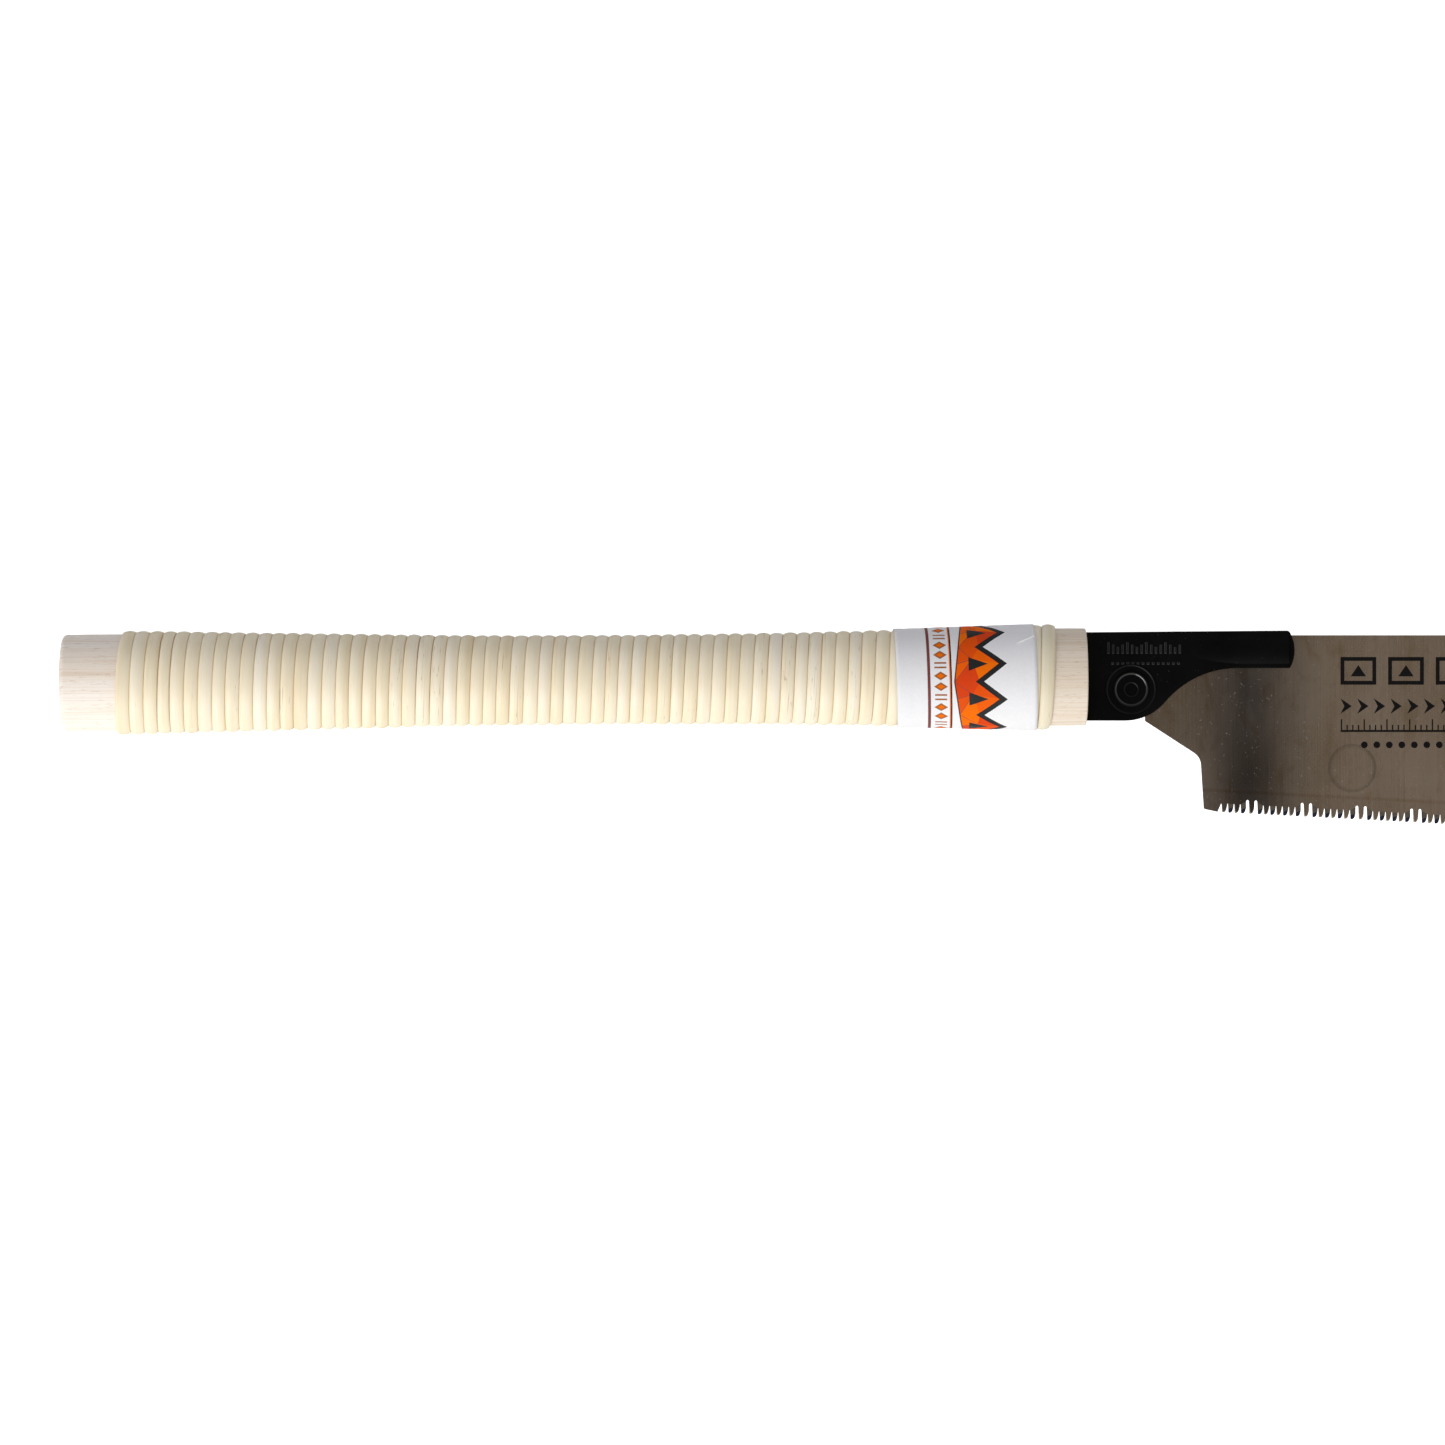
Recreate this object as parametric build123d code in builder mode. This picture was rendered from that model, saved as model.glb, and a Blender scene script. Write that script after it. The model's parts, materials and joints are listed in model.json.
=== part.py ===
"""Japanese pull saw with a rattan-bound handle, a folded steel holder and a replaceable blade.

The saw lies flat. +X runs from the butt of the handle to the toe of the blade, +Y from the
teeth to the spine, and +Z is the thickness. The origin is the bottom centre of the saw's box.
Everything is in millimetres.
"""

import os
from math import cos, radians, sin, tan

from build123d import *

# Handle: a waisted oval, split in the plane of the blade into two glued halves.
HANDLE_LENGTH = 343.5
HALF_HEIGHT = 16.3  # bare wood at both ends
HANDLE_SECTIONS = (  # distance from the butt face, half height of the bare wood
    (0, HALF_HEIGHT),
    (20, HALF_HEIGHT),
    (80, 15.1),
    (145, 14.0),
    (215, 14.0),
    (280, 15.0),
    (326, HALF_HEIGHT),
    (HANDLE_LENGTH, HALF_HEIGHT),
)
OVALITY = 0.76  # thickness of the oval over its height
BUTT_ROUNDING = 1.8
FRONT_ROUNDING = 0.5

# Rattan binding and the label glued over it.
WRAP_START = 18.2
WRAP_END = 333.3
STRIP_THICKNESS = 1.45
LABEL_START = 279.6
LABEL_END = 326.4
LABEL_THICKNESS = 0.15

# Holder: one sheet folded over the blade's spine, with a tang between the handle halves.
SHEET = 1.2
SLOT = 0.7  # gap between the two cheeks
HOLDER_THICKNESS = 2 * SHEET + SLOT
PIVOT_REACH = 15.1  # rivet in front of the handle's front face
PIVOT_DROP = 4.3  # rivet below the handle's axis
BLADE_TILT = 0.35  # the blade's spine dips this many degrees towards the toe
HOLDER_BACK = -14.9  # from here on, places are measured from the rivet
HOLDER_BOTTOM = -10.5
HOLDER_BOTTOM_END = -2.0
CHIN_RADIUS = 17.6
THROAT_RADIUS = 32.0
THROAT_TURN = 50.0
FOLD_BACK_HEIGHT = 19.2
FOLD_NOSE_HEIGHT = 19.75
NOSE_TOP = 53.0
NOSE_BULGE = (54.9, 13.4)
NOSE_BOTTOM = 53.4
FOLD_ROUNDING = 1.3
SWELL_MIDDLE = 13.4  # the fold swells to a squashed tube towards the nose
SWELL_HALF_HEIGHT = 6.1
SWELL_THICKNESS = 2.5
SWELL_SINK = 0.3  # it starts this far inside the cheeks' faces
SWELL_START = 14.0
SWELL_FULL = 36.0
BOSS_RADIUS = 8.4
BOSS_HEIGHT = 0.25
TANG_LENGTH = 60.0
TANG_HALF_HEIGHT = 11.0
SPACER_FRONT = -9.5
PIN_RADIUS = 1.5
PIN_PLACES = (-33.0, -60.0)
PIN_HALF_LENGTH = 11.2

# Rivet that the blade hooks on to.
RIVET_RADIUS = 2.5
RIVET_HEAD_RADIUS = 5.8
RIVET_HEAD_HEIGHT = 0.9
RIVET_EDGE = 0.3
RIVET_DIMPLE_RADIUS = 2.3
RIVET_DIMPLE_DEPTH = 0.35
CUT_MARGIN = 1.0  # how far a cut runs past what it removes

# Blade, measured from the rivet with the spine straight along the local X axis.
BLADE_THICKNESS = 0.6
SPINE_HEIGHT = 18.2
HOOK_CLEARANCE = 0.05
HOOK_OUTER_RADIUS = 5.6
HOOK_ARM_HEIGHT = 2.6
SHOULDER = (2.55, 13.0)
SHOULDER_TOP = 7.0
HEEL_SLOPE = 34.5
HEEL_CORNER_X = 23.5
HEEL_CORNER_RADIUS = 5.0
HEEL_BOTTOM = (24.6, -40.0)
HEEL_BOTTOM_RADIUS = 0.6
HEEL_TIP = (29.1, -40.8)
TOE_TOP = 292.5
TOE_CORNER_RADIUS = 8.0

# Teeth: six close ones, then two wide gaps with deep round gullets, and so on.
FIRST_TOOTH = (30.7, -41.3)
TOOTH_LINE_SLOPE = 3.0
TOOTH_COUNT = 115
GROUP = 8
CLOSE_GAP = 2.13
WIDE_GAP = 2.8
CLOSE_DEPTH = 3.0
WIDE_DEPTH = 4.5
CLOSE_ROOT = 0.24
WIDE_ROOT = 1.0
RAKE = 0.1
TOOTH_BACK = ((0.7, 0.1), (1.2, 0.75), (1.5, 1.8))  # points of its back, from the tip
TOE_BACK = (1.7, 3.0)


def tooth_gap(index):
    """The distance to the next tip, the gullet's depth and the width of its root."""
    if (index + 5) % GROUP in (0, 1):
        return WIDE_GAP, WIDE_DEPTH, WIDE_ROOT
    return CLOSE_GAP, CLOSE_DEPTH, CLOSE_ROOT


def tooth_tips():
    """Every tooth's tip, from the heel to the toe, along the sloping tooth line."""
    across, up = FIRST_TOOTH
    drop = tan(radians(TOOTH_LINE_SLOPE))
    tips = []
    for index in range(TOOTH_COUNT):
        tips.append((across, up))
        gap = tooth_gap(index)[0]
        across += gap
        up -= gap * drop
    return tips


# Places that follow from the driving dimensions.
tips = tooth_tips()
toe_bottom = (tips[-1][0] + TOE_BACK[0], tips[-1][1] + TOE_BACK[1])
tilt = radians(-BLADE_TILT)
blade_reach = toe_bottom[0] * cos(tilt) - toe_bottom[1] * sin(tilt)
overall_length = HANDLE_LENGTH + PIVOT_REACH + blade_reach
butt_x = -overall_length / 2
front_x = butt_x + HANDLE_LENGTH
pivot_x = front_x + PIVOT_REACH
top_above_axis = HALF_HEIGHT + STRIP_THICKNESS + LABEL_THICKNESS
teeth_below_axis = PIVOT_DROP - tips[-1][0] * sin(tilt) - tips[-1][1] * cos(tilt)
axis_y = (teeth_below_axis - top_above_axis) / 2
middle_z = HALF_HEIGHT * OVALITY + STRIP_THICKNESS + LABEL_THICKNESS
saw_side = Plane(
    origin=(pivot_x, axis_y - PIVOT_DROP, middle_z),
    x_dir=(cos(tilt), sin(tilt), 0),
    z_dir=(0, 0, 1),
)


def across_handle(distance):
    """The plane across the handle at a distance from the butt face, looking to the toe."""
    return Plane(
        origin=(butt_x + distance, axis_y, middle_z), x_dir=(0, 1, 0), z_dir=(1, 0, 0)
    )


def across_blade(distance):
    """The plane across the blade in front of the rivet, centred on the holder's swell."""
    return Plane(
        origin=saw_side.from_local_coords((distance, SWELL_MIDDLE, 0)),
        x_dir=saw_side.y_dir,
        z_dir=saw_side.x_dir,
    )


def oval_body(growth):
    """The handle's full-length waisted oval, grown all round."""
    with BuildPart() as body:
        for distance, half_height in HANDLE_SECTIONS:
            with BuildSketch(across_handle(distance)):
                Ellipse(half_height + growth, half_height * OVALITY + growth)
        loft()
    return body.part


def oval_sleeve(inner, outer, start, end):
    """A sleeve round the handle between two growths and two distances from the butt."""
    with BuildPart() as sleeve:
        add(outer)
        add(inner, mode=Mode.SUBTRACT)
        split(bisect_by=across_handle(start), keep=Keep.TOP)
        split(bisect_by=across_handle(end), keep=Keep.BOTTOM)
    return sleeve.part


bare_wood = oval_body(0)
over_wrap = oval_body(STRIP_THICKNESS)
over_label = oval_body(STRIP_THICKNESS + LABEL_THICKNESS)


# ---- The tang's outline, shared by the holder, the spacer and the recess in the wood ----
tang_middle = PIVOT_DROP
tang_end = HOLDER_BACK - TANG_LENGTH
with BuildSketch(saw_side) as tang_outline:
    with Locations(((tang_end + HOLDER_BACK) / 2, tang_middle)):
        Rectangle(TANG_LENGTH, 2 * TANG_HALF_HEIGHT)

with BuildSketch(saw_side) as pin_circles:
    with Locations(*[(place, tang_middle) for place in PIN_PLACES]):
        Circle(PIN_RADIUS)


# ---- Handle halves ----
def handle_half(side):
    """One half of the wooden handle, with its half of the tang recess and the pin holes."""
    with BuildPart() as half:
        add(bare_wood)
        ends = half.faces().filter_by(Axis.X).sort_by(Axis.X)
        fillet(ends[0].edges(), radius=BUTT_ROUNDING)
        ends = half.faces().filter_by(Axis.X).sort_by(Axis.X)
        fillet(ends[-1].edges(), radius=FRONT_ROUNDING)
        extrude(
            tang_outline.sketch, amount=HOLDER_THICKNESS / 2, both=True, mode=Mode.SUBTRACT
        )
        extrude(pin_circles.sketch, amount=2 * HALF_HEIGHT, both=True, mode=Mode.SUBTRACT)
        split(bisect_by=Plane.XY.offset(middle_z), keep=side)
    return half


handle_upper_half = handle_half(Keep.TOP)
handle_upper_half.part.label = "handle_upper_half"

handle_lower_half = handle_half(Keep.BOTTOM)
handle_lower_half.part.label = "handle_lower_half"


# ---- Rattan binding: the space that the wound strip fills ----
with BuildPart() as rattan_wrap:
    add(oval_sleeve(bare_wood, over_wrap, WRAP_START, WRAP_END))
rattan_wrap.part.label = "rattan_wrap"


# ---- Paper label round the binding ----
with BuildPart() as label_band:
    add(oval_sleeve(over_wrap, over_label, LABEL_START, LABEL_END))
label_band.part.label = "label_band"


# ---- Blade holder: cheeks, fold, boss and tang ----
with BuildPart() as blade_holder:
    with BuildSketch(saw_side):
        with BuildLine():
            bottom = Line((HOLDER_BACK, HOLDER_BOTTOM), (HOLDER_BOTTOM_END, HOLDER_BOTTOM))
            chin = JernArc(
                start=bottom @ 1, tangent=(1, 0), radius=CHIN_RADIUS, arc_size=THROAT_TURN
            )
            throat = JernArc(
                start=chin @ 1, tangent=chin % 1, radius=THROAT_RADIUS, arc_size=-THROAT_TURN
            )
            lip = Line(throat @ 1, (NOSE_BOTTOM, (throat @ 1).Y))
            nose = ThreePointArc(lip @ 1, NOSE_BULGE, (NOSE_TOP, FOLD_NOSE_HEIGHT))
            fold = Line(nose @ 1, (HOLDER_BACK, FOLD_BACK_HEIGHT))
            Line(fold @ 1, bottom @ 0)
        make_face()
    extrude(amount=HOLDER_THICKNESS / 2, both=True)
    fold_edges = blade_holder.edges().filter_by(GeomType.LINE).group_by(Axis.Y)[-1]
    fillet(fold_edges, radius=FOLD_ROUNDING)
    with BuildSketch(saw_side):
        Circle(BOSS_RADIUS)
    extrude(amount=HOLDER_THICKNESS / 2 + BOSS_HEIGHT, both=True)
    with BuildSketch(across_blade(SWELL_START)):
        Ellipse(SWELL_HALF_HEIGHT, HOLDER_THICKNESS / 2 - SWELL_SINK)
    with BuildSketch(across_blade(SWELL_FULL)):
        Ellipse(SWELL_HALF_HEIGHT, SWELL_THICKNESS)
    loft()
    with BuildSketch(across_blade(SWELL_FULL)):
        Ellipse(SWELL_HALF_HEIGHT, SWELL_THICKNESS)
    extrude(amount=NOSE_TOP - SWELL_FULL)
    extrude(tang_outline.sketch, amount=HOLDER_THICKNESS / 2, both=True)
    with BuildSketch(saw_side):
        with Locations(((tang_end + NOSE_BULGE[0]) / 2, 0)):
            Rectangle(
                NOSE_BULGE[0] - tang_end + 2 * CUT_MARGIN,
                2 * (SPINE_HEIGHT + (SLOT - BLADE_THICKNESS)),
            )
    extrude(amount=SLOT / 2, both=True, mode=Mode.SUBTRACT)
    extrude(pin_circles.sketch, amount=HOLDER_THICKNESS, both=True, mode=Mode.SUBTRACT)
    with BuildSketch(saw_side):
        Circle(RIVET_RADIUS)
    extrude(amount=HOLDER_THICKNESS, both=True, mode=Mode.SUBTRACT)
blade_holder.part.label = "blade_holder"


# ---- Spacer that keeps the tang's cheeks apart ----
with BuildPart() as tang_spacer:
    with BuildSketch(saw_side):
        with Locations(((tang_end + SPACER_FRONT) / 2, tang_middle)):
            Rectangle(SPACER_FRONT - tang_end, 2 * TANG_HALF_HEIGHT)
    extrude(amount=SLOT / 2, both=True)
    extrude(pin_circles.sketch, amount=SLOT, both=True, mode=Mode.SUBTRACT)
tang_spacer.part.label = "tang_spacer"


# ---- Two pins through the wood and the tang ----
with BuildPart() as tang_pins:
    extrude(pin_circles.sketch, amount=PIN_HALF_LENGTH, both=True)
tang_pins.part.label = "tang_pins"


# ---- Rivet with two formed heads ----
head_seat = HOLDER_THICKNESS / 2 + BOSS_HEIGHT
head_top = head_seat + RIVET_HEAD_HEIGHT
with BuildPart() as hook_rivet:
    with BuildSketch(saw_side):
        Circle(RIVET_HEAD_RADIUS)
    extrude(amount=head_top, both=True)
    rims = hook_rivet.edges().filter_by(GeomType.CIRCLE).group_by(Axis.Z)
    chamfer(rims[0] + rims[-1], length=RIVET_EDGE)
    with BuildSketch(saw_side):
        Circle(RIVET_HEAD_RADIUS + CUT_MARGIN)
        Circle(RIVET_RADIUS, mode=Mode.SUBTRACT)
    extrude(amount=head_seat, both=True, mode=Mode.SUBTRACT)
    for outward in (1, -1):
        with BuildSketch(saw_side.offset(outward * head_top)):
            Circle(RIVET_DIMPLE_RADIUS)
        extrude(amount=-outward * RIVET_DIMPLE_DEPTH, mode=Mode.SUBTRACT)
hook_rivet.part.label = "hook_rivet"


# ---- Blade ----
notch = RIVET_RADIUS + HOOK_CLEARANCE
slope = radians(HEEL_SLOPE)
hook_tangent = (-HOOK_OUTER_RADIUS * sin(slope), -HOOK_OUTER_RADIUS * cos(slope))
heel_corner = (
    HEEL_CORNER_X,
    hook_tangent[1] - (HEEL_CORNER_X - hook_tangent[0]) * tan(slope),
)
with BuildPart() as blade:
    with BuildSketch(saw_side):
        with BuildLine():
            # Hook: a notch open to the spine, with its round bottom concentric with the rivet.
            ThreePointArc((-notch, 0), (0, -notch), (notch, 0))
            Polyline((notch, 0), SHOULDER, (SHOULDER_TOP, SPINE_HEIGHT))
            Line((-notch, 0), (-notch, HOOK_ARM_HEIGHT))
            ThreePointArc(
                (-notch, HOOK_ARM_HEIGHT),
                (
                    -(notch + HOOK_OUTER_RADIUS) / 2,
                    HOOK_ARM_HEIGHT + (HOOK_OUTER_RADIUS - notch) / 2,
                ),
                (-HOOK_OUTER_RADIUS, HOOK_ARM_HEIGHT),
            )
            Line((-HOOK_OUTER_RADIUS, HOOK_ARM_HEIGHT), (-HOOK_OUTER_RADIUS, 0))
            halfway = radians(180 + (90 - HEEL_SLOPE) / 2)
            ThreePointArc(
                (-HOOK_OUTER_RADIUS, 0),
                (HOOK_OUTER_RADIUS * cos(halfway), HOOK_OUTER_RADIUS * sin(halfway)),
                hook_tangent,
            )
            # Heel and toe.
            FilletPolyline(
                hook_tangent,
                heel_corner,
                HEEL_BOTTOM,
                HEEL_TIP,
                radius=[HEEL_CORNER_RADIUS, HEEL_BOTTOM_RADIUS],
            )
            FilletPolyline(
                (SHOULDER_TOP, SPINE_HEIGHT),
                (TOE_TOP, SPINE_HEIGHT),
                toe_bottom,
                radius=TOE_CORNER_RADIUS,
            )
            # Half gullet in front of the first tooth.
            first = tips[0]
            Polyline(
                HEEL_TIP,
                (first[0] - CLOSE_ROOT - RAKE, first[1] + CLOSE_DEPTH),
                (first[0] - RAKE, first[1] + CLOSE_DEPTH),
                first,
            )
            # Teeth: a curved back, a rounded gullet and a steep leading edge each.
            for index, tip in enumerate(tips[:-1]):
                gap, depth, root = tooth_gap(index)
                following = tips[index + 1]
                root_front = following[0] - RAKE
                root_top = tip[1] + depth
                root_side = root_top - root / 2
                back = [(tip[0] + across, tip[1] + up) for across, up in TOOTH_BACK]
                Polyline(tip, *back, (root_front - root, root_side))
                ThreePointArc(
                    (root_front - root, root_side),
                    (root_front - root / 2, root_top),
                    (root_front, root_side),
                )
                Line((root_front, root_side), following)
            last = tips[-1]
            back = [(last[0] + across, last[1] + up) for across, up in TOOTH_BACK]
            Polyline(last, *back, toe_bottom)
        make_face()
    extrude(amount=BLADE_THICKNESS / 2, both=True)
blade.part.label = "blade"


pieces = (
    handle_upper_half,
    handle_lower_half,
    rattan_wrap,
    label_band,
    blade_holder,
    tang_spacer,
    tang_pins,
    hook_rivet,
    blade,
)
os.makedirs("parts", exist_ok=True)
for piece in pieces:
    export_step(piece.part, f"parts/{piece.part.label}.step")

print("overall length", round(overall_length, 2))
print("rivet at", [round(value, 3) for value in saw_side.origin])
print("butt face at x", round(butt_x, 3), "axis y", round(axis_y, 3))
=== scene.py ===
"""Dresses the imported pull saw: rattan binding, printed label, wood, black holder and blade."""

import json
import math

import bpy
from mathutils import Matrix, Vector, noise
from mathutils.geometry import delaunay_2d_cdt


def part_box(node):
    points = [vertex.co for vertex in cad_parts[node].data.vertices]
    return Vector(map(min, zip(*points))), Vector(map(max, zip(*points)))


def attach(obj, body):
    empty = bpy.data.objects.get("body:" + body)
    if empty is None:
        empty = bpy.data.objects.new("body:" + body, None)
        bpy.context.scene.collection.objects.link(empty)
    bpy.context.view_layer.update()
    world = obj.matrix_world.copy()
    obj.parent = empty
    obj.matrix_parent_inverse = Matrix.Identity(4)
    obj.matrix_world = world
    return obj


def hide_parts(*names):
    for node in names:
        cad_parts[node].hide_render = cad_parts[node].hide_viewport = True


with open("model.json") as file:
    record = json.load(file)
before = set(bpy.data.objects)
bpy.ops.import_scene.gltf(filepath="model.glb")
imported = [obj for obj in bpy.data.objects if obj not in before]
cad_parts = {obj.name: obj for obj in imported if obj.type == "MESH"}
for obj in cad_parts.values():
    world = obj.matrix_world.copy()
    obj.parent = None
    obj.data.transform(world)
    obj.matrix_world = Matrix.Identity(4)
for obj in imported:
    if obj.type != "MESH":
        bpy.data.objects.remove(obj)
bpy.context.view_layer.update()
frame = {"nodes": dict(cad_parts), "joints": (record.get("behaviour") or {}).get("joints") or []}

MM = 0.001
TURN = 2 * math.pi

# Handle, as in the CAD model: distance from the butt and half height of the bare wood, mm.
HANDLE_SECTIONS = (
    (0, 16.3),
    (20, 16.3),
    (80, 15.1),
    (145, 14.0),
    (215, 14.0),
    (280, 15.0),
    (326, 16.3),
    (343.5, 16.3),
)
OVALITY = 0.76
STRIP_THICKNESS = 1.45
LABEL_THICKNESS = 0.15
BLADE_TILT = math.radians(-0.35)
FIRST_TOOTH = (30.7, -41.3)  # its tip, mm from the rivet
TOOTH_ANGLE = math.radians(3.0)

# Marks on the blade, mm from the rivet: place and size. The dark band and its deeper lower part are a
# painted dark reflection, the heel's darkening is painted shade and the dried drop is a real stain.
HEAT_DEPTH = 7.2  # of the hardened strip, from the tips
DARK_REFLECTION_BAND = (39.4, -22, 17.8, 400)
DARK_REFLECTION_LOW = (40, -27, 15, 22)
HEEL_SHADE = (5, -5, 34, 34)
DRIED_DROP = (74.4, -26.4, 8.2, 8.2)

# Places that come from the frame, in metres.
wood_low, wood_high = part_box("handle_upper_half")
wrap_low, wrap_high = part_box("rattan_wrap")
label_low, label_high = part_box("label_band")
butt_x = wood_low.x
axis_y = (wood_low.y + wood_high.y) / 2
middle_z = wood_low.z
pivot = Vector(frame["joints"][0]["pos_m"])
saw_place = Matrix.Translation(pivot) @ Matrix.Rotation(BLADE_TILT, 4, "Z")


# ---- Small helpers ----
def smooth(value):
    """An ease from 0 to 1."""
    value = min(max(value, 0.0), 1.0)
    return value * value * (3 - 2 * value)


def wobble(place, seed):
    """Smooth noise along a line, between about -1 and 1."""
    return noise.noise(Vector((place, seed * 7.31, seed * 3.17)))


def half_height(distance):
    """Half height of the bare wood, mm, at a distance from the butt, by a cubic through the sections."""
    last = len(HANDLE_SECTIONS) - 1
    index = 0
    while index < last - 1 and HANDLE_SECTIONS[index + 1][0] < distance:
        index += 1

    def slope(at):
        before = HANDLE_SECTIONS[max(at - 1, 0)]
        after = HANDLE_SECTIONS[min(at + 1, last)]
        return (after[1] - before[1]) / (after[0] - before[0])

    start, end = HANDLE_SECTIONS[index], HANDLE_SECTIONS[index + 1]
    span = end[0] - start[0]
    part = min(max((distance - start[0]) / span, 0.0), 1.0)
    rise = end[1] - start[1]
    swing_start = slope(index) * span - rise
    swing_end = rise - slope(index + 1) * span
    bend = part * (1 - part)
    return start[1] + part * rise + bend * ((1 - part) * swing_start + part * swing_end)


def oval_point(distance, angle, growth):
    """A point round the handle, mm from the butt. Angle 0 is the tooth side, a quarter is up."""
    height = half_height(distance)
    across = -(height + growth) * math.cos(angle)
    up = (height * OVALITY + growth) * math.sin(angle)
    return Vector((butt_x + distance * MM, axis_y + across * MM, middle_z + up * MM))


def oval_outward(distance, angle):
    """The outward direction of the handle's oval."""
    return Vector((0, -math.cos(angle) * OVALITY, math.sin(angle))).normalized()


def add_mesh(name, points, faces, materials, indices=None, flat=False):
    """A mesh object from points, faces and a material index for each face."""
    mesh = bpy.data.meshes.new(name)
    mesh.from_pydata([tuple(point) for point in points], [], faces)
    for material in materials:
        mesh.materials.append(material)
    if indices is not None:
        mesh.polygons.foreach_set("material_index", indices)
    mesh.polygons.foreach_set("use_smooth", [not flat] * len(mesh.polygons))
    mesh.validate()
    mesh.update()
    piece = bpy.data.objects.new(name, mesh)
    bpy.context.scene.collection.objects.link(piece)
    return piece


# ---- Shader helpers ----
class Shader:
    """A node material, with short calls for the nodes that it uses."""

    def __init__(self, name, **values):
        self.material = bpy.data.materials.new(name)
        self.material.use_nodes = True
        self.tree = self.material.node_tree
        self.surface = self.tree.nodes["Principled BSDF"]
        self.feed(self.surface, values)

    def feed(self, node, values):
        for key, value in values.items():
            socket = node.inputs[key.replace("_", " ") if isinstance(key, str) else key]
            if isinstance(value, bpy.types.NodeSocket):
                self.tree.links.new(value, socket)
            else:
                socket.default_value = value

    def node(self, kind, values=None, **settings):
        node = self.tree.nodes.new(kind)
        for key, value in settings.items():
            setattr(node, key, value)
        self.feed(node, values or {})
        return node

    def place(self, scale, source="Object", shift=(0, 0, 0)):
        """Coordinates stretched by a scale and moved."""
        if source == "UV":
            start = self.node("ShaderNodeUVMap", uv_map="strip").outputs[0]
        else:
            start = self.node("ShaderNodeTexCoord").outputs[source]
        mapping = self.node("ShaderNodeMapping", {"Vector": start, "Scale": scale})
        mapping.inputs["Location"].default_value = shift
        return mapping.outputs[0]

    def noise(self, place, scale=1.0, detail=2.0, rough=0.5, warp=0.0):
        values = {"Vector": place, "Scale": scale, "Detail": detail, "Roughness": rough}
        made = self.node("ShaderNodeTexNoise", values)
        made.inputs["Distortion"].default_value = warp
        return made.outputs["Fac"]

    def math(self, operation, first, second=0.5, third=0.5):
        values = {0: first, 1: second, 2: third}
        return self.node("ShaderNodeMath", values, operation=operation).outputs[0]

    def ramp(self, factor, *stops, ease="LINEAR"):
        """A colour or grey ramp from stops of (position, colour or grey)."""
        made = self.node("ShaderNodeValToRGB", {"Fac": factor})
        made.color_ramp.interpolation = ease
        while len(made.color_ramp.elements) < len(stops):
            made.color_ramp.elements.new(0.5)
        for element, (position, colour) in zip(made.color_ramp.elements, stops):
            element.position = position
            grey = isinstance(colour, (int, float))
            element.color = (colour, colour, colour, 1) if grey else (*colour, 1)
        return made.outputs[0]

    def mix(self, factor, first, second, blend="MIX"):
        made = self.node("ShaderNodeMix", data_type="RGBA", blend_type=blend)
        for index, value in ((0, factor), (6, first), (7, second)):
            if isinstance(value, tuple):
                value = (*value, 1)
            self.feed(made, {index: value})
        return made.outputs[2]

    def bump(self, height, distance, strength):
        values = {"Height": height, "Distance": distance, "Strength": strength}
        return self.node("ShaderNodeBump", values).outputs[0]


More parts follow.
